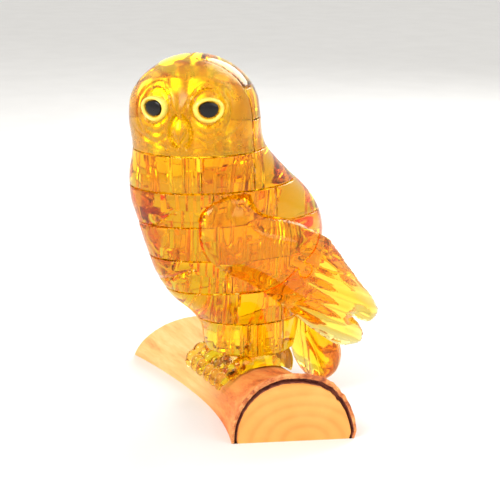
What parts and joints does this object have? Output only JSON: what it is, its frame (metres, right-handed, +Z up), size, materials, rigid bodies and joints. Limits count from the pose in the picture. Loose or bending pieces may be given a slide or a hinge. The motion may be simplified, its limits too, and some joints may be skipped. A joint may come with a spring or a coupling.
{
  "type": "owl figurine",
  "caption": "Clear amber owl figurine perched on half a log, built from interlocking jigsaw slices that lift apart around a centre rod.",
  "frame": {"origin": "centre of the footprint of the whole model, on the flat underside of the log", "axes": "+Z up through the owl, -Y towards the owl's breast, +X towards the owl's left side and the log's near end"},
  "size_m": [0.0812, 0.062, 0.092],
  "materials": {
    "amber_plastic": "clear amber moulded plastic, polished, light yellow where thin and deep orange where thick",
    "log_wood": "pale maple to orange sawn wood with growth rings on the end and a strip of red-brown bark",
    "pupil_black": "gloss black pupils"
  },
  "bodies": {
    "base": {"half_log": "log_wood", "centre_rod": "amber_plastic"},
    "feet": {"foot_left": "amber_plastic", "foot_right": "amber_plastic"},
    "thigh_slice": {"thigh_front": "amber_plastic", "thigh_left": "amber_plastic", "thigh_right": "amber_plastic", "thigh_back": "amber_plastic"},
    "lower_belly_slice": {"lower_belly_front": "amber_plastic", "lower_belly_left": "amber_plastic", "lower_belly_right": "amber_plastic", "lower_belly_back": "amber_plastic"},
    "belly_slice": {"belly_front": "amber_plastic", "belly_left": "amber_plastic", "belly_right": "amber_plastic", "belly_back": "amber_plastic"},
    "lower_breast_slice": {"lower_breast_front": "amber_plastic", "lower_breast_left": "amber_plastic", "lower_breast_right": "amber_plastic", "lower_breast_back": "amber_plastic"},
    "breast_slice": {"breast_front": "amber_plastic", "breast_left": "amber_plastic", "breast_right": "amber_plastic", "breast_back": "amber_plastic"},
    "shoulder_slice": {"shoulder_front": "amber_plastic", "shoulder_left": "amber_plastic", "shoulder_right": "amber_plastic", "shoulder_back": "amber_plastic"},
    "tail": {"tail_left": "amber_plastic", "tail_right": "amber_plastic"},
    "left_wing": {"left_wing_coverts": "amber_plastic", "left_wing_primaries": "amber_plastic"},
    "right_wing": {"right_wing_coverts": "amber_plastic", "right_wing_primaries": "amber_plastic"},
    "head": {"face": "amber_plastic", "cheek_left": "amber_plastic", "cheek_right": "amber_plastic", "nape": "amber_plastic", "temple_left": "amber_plastic", "temple_right": "amber_plastic", "occiput": "amber_plastic", "pupil_left": "pupil_black", "pupil_right": "pupil_black"},
    "crown": {"crown_left": "amber_plastic", "crown_right": "amber_plastic"}
  },
  "joints": [
    {"name": "feet_lift", "type": "slide", "parent": "base", "child": "feet", "axis": [0, 0, 1], "range_m": [0, 0.012]},
    {"name": "thigh_lift", "type": "slide", "parent": "feet", "child": "thigh_slice", "axis": [0, 0, 1], "range_m": [0, 0.012]},
    {"name": "lower_belly_lift", "type": "slide", "parent": "thigh_slice", "child": "lower_belly_slice", "axis": [0, 0, 1], "range_m": [0, 0.012]},
    {"name": "belly_lift", "type": "slide", "parent": "lower_belly_slice", "child": "belly_slice", "axis": [0, 0, 1], "range_m": [0, 0.012]},
    {"name": "lower_breast_lift", "type": "slide", "parent": "belly_slice", "child": "lower_breast_slice", "axis": [0, 0, 1], "range_m": [0, 0.012]},
    {"name": "breast_lift", "type": "slide", "parent": "lower_breast_slice", "child": "breast_slice", "axis": [0, 0, 1], "range_m": [0, 0.012]},
    {"name": "shoulder_lift", "type": "slide", "parent": "breast_slice", "child": "shoulder_slice", "axis": [0, 0, 1], "range_m": [0, 0.012]},
    {"name": "head_lift", "type": "slide", "parent": "shoulder_slice", "child": "head", "axis": [0, 0, 1], "range_m": [0, 0.012]},
    {"name": "crown_lift", "type": "slide", "parent": "head", "child": "crown", "axis": [0, 0, 1], "range_m": [0, 0.012]},
    {"name": "tail_pull", "type": "slide", "parent": "lower_belly_slice", "child": "tail", "axis": [0, 1, 0], "range_m": [0, 0.012]},
    {"name": "left_wing_pull", "type": "slide", "parent": "breast_slice", "child": "left_wing", "axis": [1, 0, 0], "range_m": [0, 0.012]},
    {"name": "right_wing_pull", "type": "slide", "parent": "breast_slice", "child": "right_wing", "axis": [-1, 0, 0], "range_m": [0, 0.012]}
  ]
}
